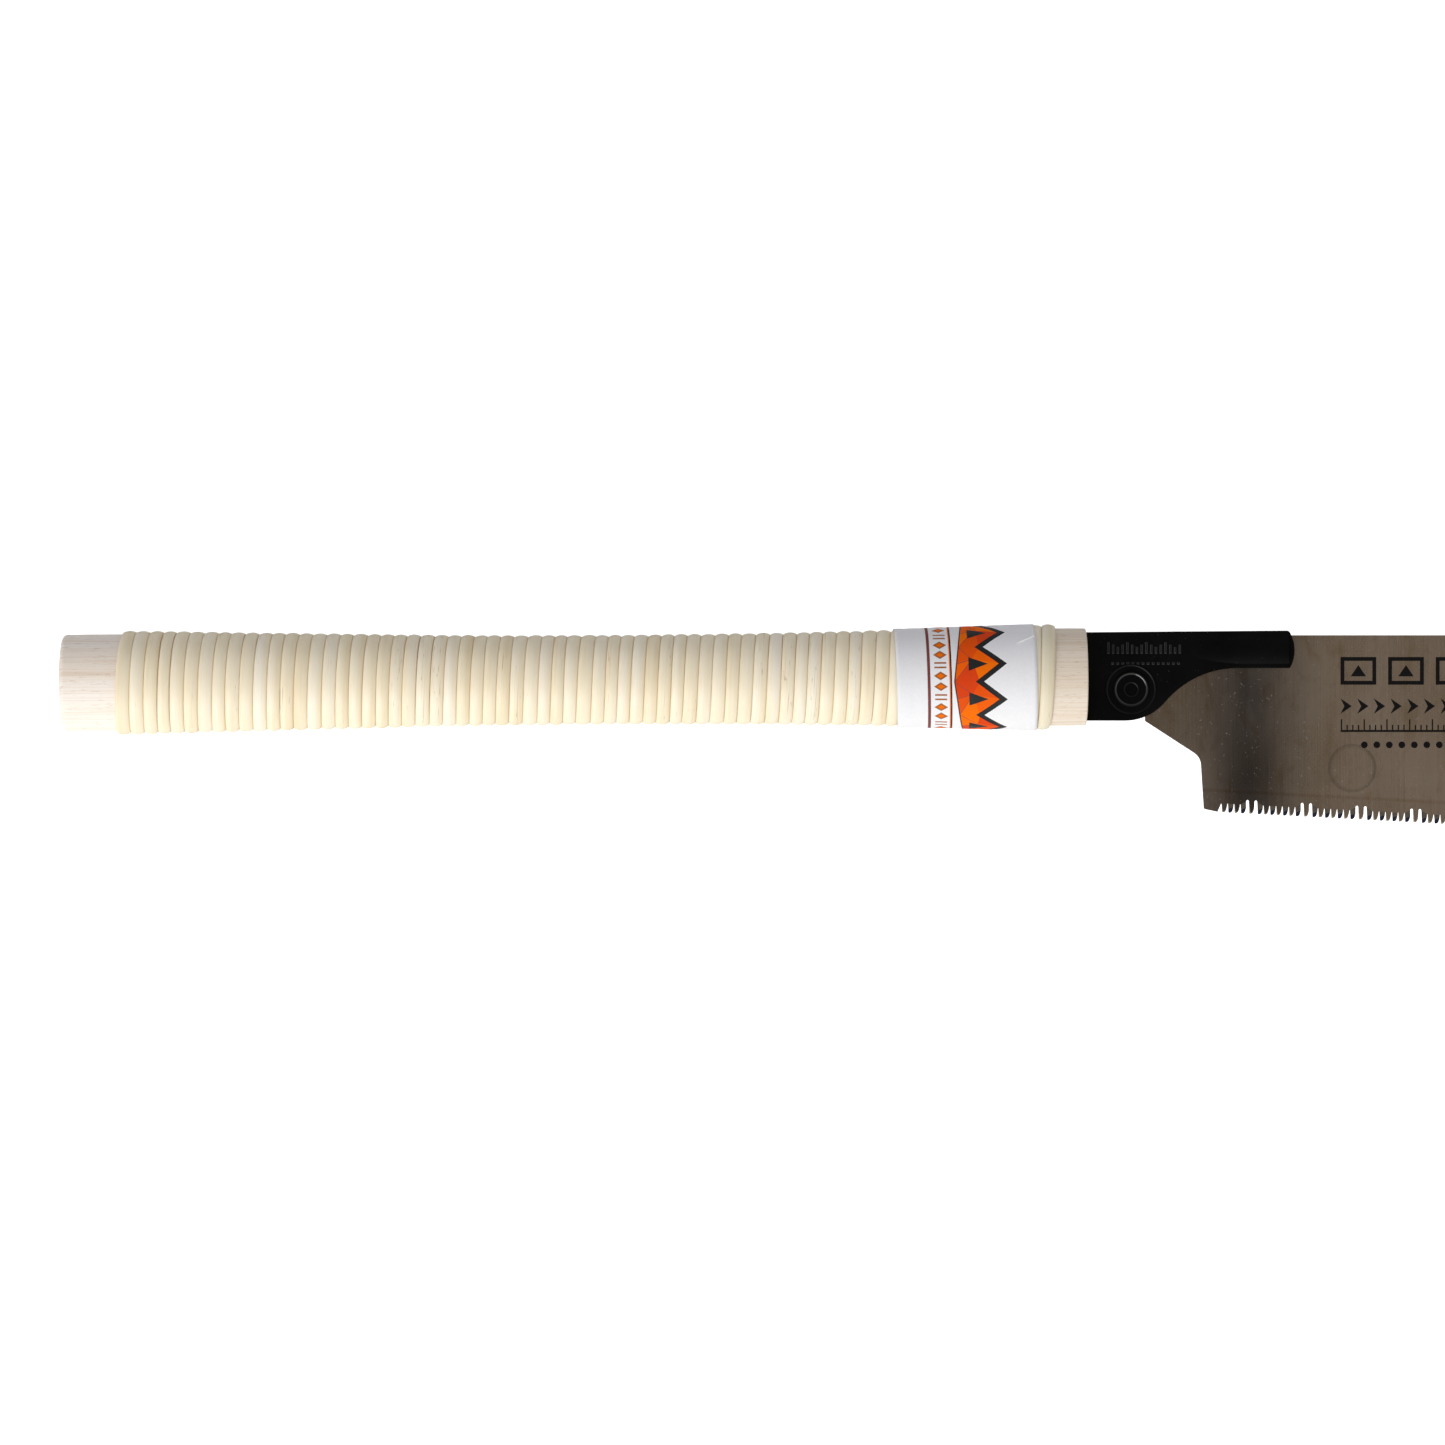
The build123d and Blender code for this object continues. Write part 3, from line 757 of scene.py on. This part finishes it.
def make_label(edges):
    """The paper label: it bridges the turns below, overlaps itself behind and has one crease."""
    width = (label_high.x - label_low.x) / MM
    start = (label_low.x - butt_x) / MM
    low, high = label_ends()
    across = max(2, round(width / LABEL_STEP))
    around = round((high - low) / LABEL_STEP)
    points = []
    for column in range(across + 1):
        for row in range(around + 1):
            points.append((width * column / across, low + (high - low) * row / around))
    outline = ((0, low), (width, low), (width, high), (0, high))
    corners, triangles, _, indices = cut_sheet(outline, points, label_prints(), LABEL_STEP)

    def surface(corner, lift):
        distance = start + corner.x - LABEL_SKEW * corner.y
        angle = math.pi / 2 + arc_angle(corner.y)
        step = round((angle % TURN) / TURN * STEPS)
        while edges[step + STEPS] < distance:
            step += STEPS
        share = (distance - edges[step]) / (edges[step + STEPS] - edges[step])
        sag = 0.10 * abs(2 * share - 1) ** 5
        lap = LABEL_THICKNESS * smooth((corner.y - high + LABEL_OVERLAP + 1.0) / 1.5)
        growth = STRIP_THICKNESS + lift + lap + CREASE_HEIGHT * crease_lift(corner) - sag
        growth += 0.03 * wobble(corner.x * 0.12 + corner.y * 0.07, 8)
        base = oval_point(distance, angle, 0)
        return base + oval_outward(distance, angle) * growth * MM

    outer = [surface(corner, LABEL_THICKNESS) for corner in corners]
    inner = [surface(corner, 0.02) for corner in corners]
    count = len(corners)
    faces = list(triangles)
    faces += [tuple(count + corner for corner in reversed(face)) for face in triangles]
    indices += [0] * len(triangles)
    used = {}
    for face in triangles:
        for begin, end in zip(face, face[1:] + face[:1]):
            used[(begin, end)] = True
    for begin, end in used:
        if (end, begin) not in used:
            faces.append((end, begin, count + begin, count + end))
            indices.append(0)
    materials = [PAPER, MAROON, BROWN, *ORANGES, BLACK_INK, CREASE_HIGHLIGHT_PAPER]
    piece = add_mesh("paper_label", outer + inner, faces, materials, indices)
    # The faces of the crease's painted highlight stay flat shaded.
    for face in piece.data.polygons:
        face.use_smooth = face.material_index != CREASE_HIGHLIGHT_SLOT
    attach(piece, "handle")
    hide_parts("label_band")


# ---- Blade ----
# The outline is in mm from the rivet, with the spine level.
BLADE_THICKNESS = 0.6
SPINE = 18.2
NOTCH = 2.55
HOOK = 5.6
HOOK_ARM = 2.6
SHOULDER = ((2.55, 13.0), (7.0, SPINE))
NECK_TOP = (4.7, -HOOK)
NECK = (4.85, -10.6)
HEEL = (23.5, -22.7)
HEEL_BOTTOM = (24.6, -40.15)
HEEL_TIP = (29.2, -41.1)
TOE_TOP = 292.5
TOOTH_COUNT = 115
CLOSE = (2.13, 3.0, 0.24)  # distance to the next tip, depth of the gullet, width of its root
WIDE = (2.8, 4.5, 1.0)
RAKE = 0.1  # how far the leading edge leans
TOE_BACK = (1.7, 3.0)
TOOTH_BACK = ((0.48, -0.03), (0.88, 0.08), (1.2, 0.36), (1.44, 0.85), (1.7, 1.9))
TOOTH_LEAD = (1.25, 0.55, 0.14)  # heights of points on the leading edge, above the tip
TOOTH_MIDDLE = 0.8
BEVEL_SHARE = 0.35  # how much narrower a tooth is on its bevelled face
SET = 0.13  # how far the tips lean out of the blade's plane, to one side and the other by turns


def tooth_gap(index):
    """The gap after a tooth: two of every eight are wide."""
    return WIDE if (index + 5) % 8 in (0, 1) else CLOSE


def rounded(before, corner, after, radius, steps=6):
    """Points of an arc that rounds the corner between two straight lines."""
    corner = Vector(corner)
    back, on = (Vector(before) - corner).normalized(), (Vector(after) - corner).normalized()
    half = back.angle(on) / 2
    reach = radius / math.tan(half)
    middle = corner + (back + on).normalized() * radius / math.sin(half)
    start, end = corner + back * reach, corner + on * reach
    made = []
    for step in range(steps + 1):
        arm = (start - middle).lerp(end - middle, step / steps)
        made.append(tuple(middle + arm.normalized() * radius))
    return made


def arc(middle, radius, start, end, steps):
    """Points on an arc, angles in degrees."""
    made = []
    for step in range(steps + 1):
        angle = math.radians(start + (end - start) * step / steps)
        made.append((middle[0] + radius * math.cos(angle), middle[1] + radius * math.sin(angle)))
    return made


def blade_outline():
    """The outline from the hook round by the heel: rows of (place, tooth, height, middle)."""
    rows = []

    def plain(places):
        rows.extend((place, None, 1.0, 0.0) for place in places)

    plain(arc((0, 0), HOOK, 180, 270, 10))
    plain(rounded((0, -HOOK), NECK_TOP, NECK, 1.0, 4))
    plain(rounded(NECK_TOP, NECK, HEEL, 0.4, 4))
    plain(rounded(NECK, HEEL, HEEL_BOTTOM, 5.0))
    plain(rounded(HEEL, HEEL_BOTTOM, HEEL_TIP, 0.6, 3))
    plain([HEEL_TIP])
    tip_x, tip_y = FIRST_TOOTH
    top = tip_y + CLOSE[1] - CLOSE[2] / 2
    plain([(tip_x - RAKE - CLOSE[2], top)])
    teeth = []
    for index in range(TOOTH_COUNT):
        gap, depth, root = tooth_gap(index)
        middle = tip_x + TOOTH_MIDDLE
        first = len(rows)
        rows.append(((tip_x - RAKE, top), index, 1.0, middle))
        for height in TOOTH_LEAD:
            lean = RAKE * height / (top - tip_y) - 0.10 * max(0, 0.3 - height)
            rows.append(((tip_x - lean, tip_y + height), index, height / depth, middle))
        rows.append(((tip_x + 0.12, tip_y), index, 0.0, middle))
        for across, up in TOOTH_BACK:
            rows.append(((tip_x + across, tip_y + up), index, max(up, 0) / depth, middle))
        top = tip_y + depth - root / 2
        tip_x += gap
        tip_y -= gap * math.tan(TOOTH_ANGLE)
        if index < TOOTH_COUNT - 1:
            rows.append(((tip_x - RAKE - root, top), index, 1.0, middle))
            teeth.append((first, len(rows)))
            steps = 6 if root > 0.5 else 2
            plain(arc((tip_x - RAKE - root / 2, top), root / 2, 180, 0, steps)[1:-1])
    tip_x -= gap
    tip_y += gap * math.tan(TOOTH_ANGLE)
    toe_bottom = (tip_x + TOE_BACK[0], tip_y + TOE_BACK[1])
    rows.append((toe_bottom, TOOTH_COUNT - 1, 1.0, tip_x + TOOTH_MIDDLE))
    teeth.append((first, len(rows)))
    plain(rounded(toe_bottom, (TOE_TOP, SPINE), SHOULDER[1], 8.0, 10))
    plain([SHOULDER[1], SHOULDER[0]])
    plain(arc((0, 0), NOTCH, 0, -180, 16))
    plain(arc((-(NOTCH + HOOK) / 2, HOOK_ARM), (HOOK - NOTCH) / 2, 0, 180, 8))
    return rows, teeth


# The blade's print, mm from the rivet.
PRINT_LEFT = 70.5
FRAMES = 3
FRAME_PITCH = 16.0
FRAME_SIZE = 12.0
FRAME_BOTTOM = 1.6
FRAME_TOP = 10.9
FRAME_LINE = 1.3
ARROWS = 8
ARROW_PITCH = 5.6
ARROW_HEIGHT = -5.6
SCALE_END = 115.0
SCALE_BOTTOM = -14.3
SCALE_TOP = -13.6
TICKS = 24
TICK_PITCH = 1.91
TICK_WIDTH = 0.45
DOTS = 9
FIRST_DOT = (78.5, -18.6)
DOT_PITCH = 4.2
DOT_RADIUS = 1.15


def blade_prints():
    """Generic marks where the blade's print is: framed triangles, arrows, a scale and dots."""
    made = []

    def box(left, right, bottom, top):
        made.append((((left, bottom), (right, bottom), (right, top), (left, top)), 1))

    for index in range(FRAMES):
        left = PRINT_LEFT + index * FRAME_PITCH
        right = left + FRAME_SIZE
        inside = (FRAME_BOTTOM + FRAME_LINE, FRAME_TOP - FRAME_LINE)
        box(left, right, inside[1], FRAME_TOP)
        box(left, right, FRAME_BOTTOM, inside[0])
        box(left, left + FRAME_LINE, *inside)
        box(right - FRAME_LINE, right, *inside)
        made.append((((left + 3.4, 4.4), (left + 8.6, 4.4), (left + 6.0, 8.2)), 1))
    for index in range(ARROWS):
        left = PRINT_LEFT + index * ARROW_PITCH
        head = (left + 3.8, ARROW_HEIGHT)
        notch = (left + 1.3, ARROW_HEIGHT)
        made.append((((left, ARROW_HEIGHT - 2.6), head, (left, ARROW_HEIGHT + 2.6), notch), 1))
    box(PRINT_LEFT, SCALE_END, SCALE_BOTTOM, SCALE_TOP)
    for index in range(TICKS):
        left = PRINT_LEFT + 0.1 + index * TICK_PITCH
        box(left, left + TICK_WIDTH, SCALE_TOP, SCALE_TOP + (1.7 if index % 4 else 3.6))
    for index in range(DOTS):
        spot = arc((FIRST_DOT[0] + index * DOT_PITCH, FIRST_DOT[1]), DOT_RADIUS, 0, 330, 11)
        made.append((tuple(spot), 1))
    return made


def make_blade():
    """The blade with its hook, heel, set and bevelled teeth, and generic print."""
    rows, teeth = blade_outline()
    half = BLADE_THICKNESS / 2
    count = len(rows)
    points_in_tip = len(TOOTH_LEAD) + len(TOOTH_BACK)

    def place(row, side):
        (across, up), tooth, height, middle = row
        if tooth is None:
            return (across, up), side * half
        left = tooth % 2 == 0
        drop = (1 - height) ** 2
        lean = (SET if left else -SET) * (1 - height)
        if left == (side > 0):
            across += (middle - across) * BEVEL_SHARE * (1 - height)
            up += 0.4 * drop
        return (across, up), side * half + lean

    verts, faces, indices = [], [], []
    loops = {}
    for side in (1, -1):
        placed = [place(row, side) for row in rows]
        flat = [spot for spot, _ in placed]
        prints = []
        for index, (first, last) in enumerate(teeth):
            dark = (index % 2 == 1) == (side > 0)
            prints.append((flat[first:last], 3 if dark else 0))
            if dark:
                prints.append((flat[first + 1 : first + points_in_tip + 2], 4))
        if side > 0:
            prints += [(polygon, 5) for polygon, _ in blade_prints()]
        corners, triangles, sources, inks = cut_sheet(flat, [], prints)
        start = len(verts)
        loop = [None] * count
        for number, (corner, source) in enumerate(zip(corners, sources)):
            origin = next((item for item in source if item < count), None)
            height = placed[origin][1] if origin is not None else side * half
            verts.append(saw_place @ Vector((corner.x * MM, corner.y * MM, height * MM)))
            for item in source:
                if item < count:
                    loop[item] = start + number
        for face, ink in zip(triangles, inks):
            moved = tuple(start + corner for corner in face)
            faces.append(moved if side > 0 else tuple(reversed(moved)))
            indices.append(ink)
        loops[side] = loop
    for index in range(count):
        beside = (index + 1) % count
        top, bottom = loops[1], loops[-1]
        faces.append((top[beside], top[index], bottom[index], bottom[beside]))
        tooth = rows[index][1] if rows[index][1] == rows[beside][1] else None
        indices.append(1 if tooth is None else (2, 4)[tooth % 2])
    materials = [BLADE, BLADE_EDGE, BEVEL, DARK_TOOTH, HARD_TIP, BLADE_INK]
    piece = add_mesh("saw_blade_detail", verts, faces, materials, indices, flat=True)
    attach(piece, "saw_blade")
    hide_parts("blade")


# ---- Holder marks and rims ----
# Heights of its faces from the middle plane, mm, as in the CAD model.
HOLDER_FACE = 1.55
BOSS_FACE = 1.8
HEAD_FACE = 2.7

# Pressed marks, mm from the rivet.
RIDGES = 16
RIDGE_LEFT = -8.0
RIDGE_PITCH = 1.6
RIDGE_WIDTH = 0.8
RIDGE_BOTTOM = 12.0
RIDGE_LENGTHS = (3.9, 3.1, 2.3, 3.1)
STUDS = 14
STUD_LEFT = -6.6
STUD_PITCH = 1.7
STUD_SIZE = 0.9
STUD_BOTTOM = 8.3
MARK_SLOPE = 0.3
MARK_HEIGHT = 0.18

# Section of a rim, from its inside to its outside, as shares of its width and height.
RIM_SECTION = ((-0.5, -0.3), (-0.5, 0.0), (-0.3, 0.35), (0.0, 0.9), (0.1, 1.0), (0.5, 0.95), (0.5, -0.3))


def make_ring(name, radius, width, height, base, side, material):
    """A low rim round the rivet, on one face of the holder: a slope inside, a flat top, a steep outside."""
    steps = 96
    points, faces = [], []
    for step in range(steps):
        angle = TURN * step / steps
        for across, up in RIM_SECTION:
            reach = radius + across * width
            lift = side * (base + up * height)
            spot = (reach * math.cos(angle) * MM, reach * math.sin(angle) * MM, lift * MM)
            points.append(saw_place @ Vector(spot))
    row = len(RIM_SECTION)
    for step in range(steps):
        here, there = step * row, (step + 1) % steps * row
        for index in range(row):
            beside = (index + 1) % row
            face = (here + index, there + index, there + beside, here + beside)
            faces.append(face if side > 0 else tuple(reversed(face)))
    piece = add_mesh(name, points, faces, [material])
    piece.data.set_sharp_from_angle(angle=math.radians(40))
    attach(piece, "handle")


def make_marks():
    """Generic pressed marks on the holder: a stepped row of ridges over a row of studs."""
    bars = []
    for index in range(RIDGES):
        left = RIDGE_LEFT + index * RIDGE_PITCH
        top = RIDGE_BOTTOM + RIDGE_LENGTHS[index % len(RIDGE_LENGTHS)]
        bars.append((left, left + RIDGE_WIDTH, RIDGE_BOTTOM, top))
    for index in range(STUDS):
        left = STUD_LEFT + index * STUD_PITCH
        bars.append((left, left + STUD_SIZE, STUD_BOTTOM, STUD_BOTTOM + STUD_SIZE))
    points, faces, indices = [], [], []
    for left, right, bottom, top in bars:
        start = len(points)
        for inset, lift in ((0, -0.05), (0, 0.0), (MARK_SLOPE, MARK_HEIGHT)):
            for across, up in (
                (left + inset, bottom + inset),
                (right - inset, bottom + inset),
                (right - inset, top - inset),
                (left + inset, top - inset),
            ):
                spot = (across * MM, up * MM, (HOLDER_FACE + lift) * MM)
                points.append(saw_place @ Vector(spot))
        for level in (0, 4):
            for index in range(4):
                beside = (index + 1) % 4
                here = start + level
                faces.append((here + index, here + beside, here + beside + 4, here + index + 4))
                indices.append(1)
        faces.append(tuple(start + 8 + index for index in range(4)))
        faces.append(tuple(start + 3 - index for index in range(4)))
        indices += [0, 0]
    piece = add_mesh("holder_pressed_marks", points, faces, [ENAMEL, MARK], indices, flat=True)
    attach(piece, "handle")


# ---- Pieces kept from the CAD model ----
def dress(node, material):
    """Gives a CAD node a better material."""
    mesh = frame["nodes"][node].data
    mesh.materials.clear()
    mesh.materials.append(material)


# ---- Stage ----
CAMERA_HEIGHT = 1.5  # above the blade, in metres, as are the values below
FRAME_WIDTH = 0.4855
FRAME_MIDDLE = (-0.1371, -0.0111)  # from the rivet
FLOOR_HALF = 4.0
KEY_PLACE = (-1.1, -1.35, 1.4)
KEY_SIZE = (1.6, 1.4)
KEY_POWER = 28  # watts
SIDE_PLACE = (-1.5, 0.6, 0.6)
SIDE_SIZE = (0.8, 0.6)
SIDE_POWER = 1.5
GLINT_PLACE = (0.75, 0.75, 0.55)
GLINT_SIZE = (0.08, 0.08)
GLINT_POWER = 1.0


def make_camera():
    """Straight above the blade's plane, as far away as a person would hold a camera."""
    data = bpy.data.cameras.new("camera")
    data.sensor_width = 36
    data.lens = data.sensor_width * CAMERA_HEIGHT / FRAME_WIDTH
    camera = bpy.data.objects.new("camera", data)
    aim = saw_place @ Vector((*FRAME_MIDDLE, 0))
    camera.location = aim + Vector((0, 0, CAMERA_HEIGHT))
    camera.rotation_euler = (0, 0, BLADE_TILT)
    bpy.context.scene.collection.objects.link(camera)
    bpy.context.scene.camera = camera


def make_floor():
    """A pale floor that stays nearly white to the camera, like a light table."""
    size = FLOOR_HALF
    corners = [(-size, -size, 0), (size, -size, 0), (size, size, 0), (-size, size, 0)]
    made = Shader("pale_floor", Roughness=0.9)
    made.surface.inputs["Base Color"].default_value = (0.80, 0.80, 0.80, 1)
    seen = made.node("ShaderNodeLightPath").outputs["Is Camera Ray"]
    made.surface.inputs["Emission Color"].default_value = (1, 1, 1, 1)
    made.feed(made.surface, {"Emission Strength": made.math("MULTIPLY", seen, 0.9)})
    floor = add_mesh("floor", corners, [(0, 1, 2, 3)], [made.material])


def make_world():
    """A light tent: white to the camera, with a dark opening overhead and a dimmer far side."""
    world = bpy.data.worlds.new("studio")
    world.use_nodes = True
    tree = world.node_tree
    bpy.context.scene.world = world
    shade = tree.nodes["Background"]
    split = tree.nodes.new("ShaderNodeSeparateXYZ")
    sides = tree.nodes.new("ShaderNodeMapRange")
    tone = tree.nodes.new("ShaderNodeValToRGB")
    opening = tree.nodes.new("ShaderNodeValToRGB")
    seen = tree.nodes.new("ShaderNodeLightPath")
    coords = tree.nodes.new("ShaderNodeTexCoord")
    tree.links.new(coords.outputs["Generated"], split.inputs[0])
    tree.links.new(split.outputs[1], sides.inputs["Value"])
    sides.inputs["From Min"].default_value = -1
    tree.links.new(sides.outputs[0], tone.inputs[0])
    tone.color_ramp.elements[0].color = (1.0, 0.98, 0.95, 1)
    tone.color_ramp.elements[1].color = (0.20, 0.21, 0.25, 1)
    shade.inputs["Strength"].default_value = 1.02
    tree.links.new(split.outputs[2], opening.inputs[0])
    opening.color_ramp.elements[0].position = 0.84
    opening.color_ramp.elements[0].color = (1, 1, 1, 1)
    opening.color_ramp.elements[1].position = 0.95
    opening.color_ramp.elements[1].color = (0.215, 0.205, 0.195, 1)

    def mixed(blend):
        made = tree.nodes.new("ShaderNodeMix")
        made.data_type = "RGBA"
        made.blend_type = blend
        return made

    product = mixed("MULTIPLY")
    product.inputs[0].default_value = 1
    tree.links.new(tone.outputs[0], product.inputs[6])
    tree.links.new(opening.outputs[0], product.inputs[7])
    choice = mixed("MIX")
    tree.links.new(seen.outputs["Is Camera Ray"], choice.inputs[0])
    tree.links.new(product.outputs[2], choice.inputs[6])
    choice.inputs[7].default_value = (1, 1, 1, 1)
    tree.links.new(choice.outputs[2], shade.inputs[0])


def make_light(name, place, aim, size, power):
    """A soft rectangular light that looks at a point."""
    data = bpy.data.lights.new(name, "AREA")
    data.shape = "RECTANGLE"
    data.size, data.size_y = size
    data.energy = power
    light = bpy.data.objects.new(name, data)
    light.location = place
    light.rotation_euler = (Vector(aim) - Vector(place)).to_track_quat("-Z", "Y").to_euler()
    bpy.context.scene.collection.objects.link(light)


def make_stage():
    make_camera()
    make_floor()
    make_world()
    make_light("key", KEY_PLACE, (-0.1, 0, 0), KEY_SIZE, KEY_POWER)
    make_light("side", SIDE_PLACE, (-0.15, 0, 0), SIDE_SIZE, SIDE_POWER)
    make_light("glint", GLINT_PLACE, pivot, GLINT_SIZE, GLINT_POWER)
    scene = bpy.context.scene
    scene.view_settings.view_transform = "Standard"


make_stage()
winding = make_rattan()
make_label(winding)
make_blade()
make_marks()
for side, name in ((1, "upper"), (-1, "lower")):
    make_ring(f"rivet_rim_{name}", 5.35, 0.7, 0.17, HEAD_FACE, side, RIM)
    make_ring(f"rivet_dimple_{name}", 2.35, 0.45, 0.11, HEAD_FACE, side, SATIN)
    make_ring(f"boss_rim_{name}", 8.1, 0.5, 0.12, BOSS_FACE, side, SATIN)
for half in ("handle_upper_half", "handle_lower_half"):
    dress(half, WOOD)
dress("blade_holder", ENAMEL)
dress("hook_rivet", ENAMEL)
dress("tang_spacer", STEEL)
dress("tang_pins", STEEL)
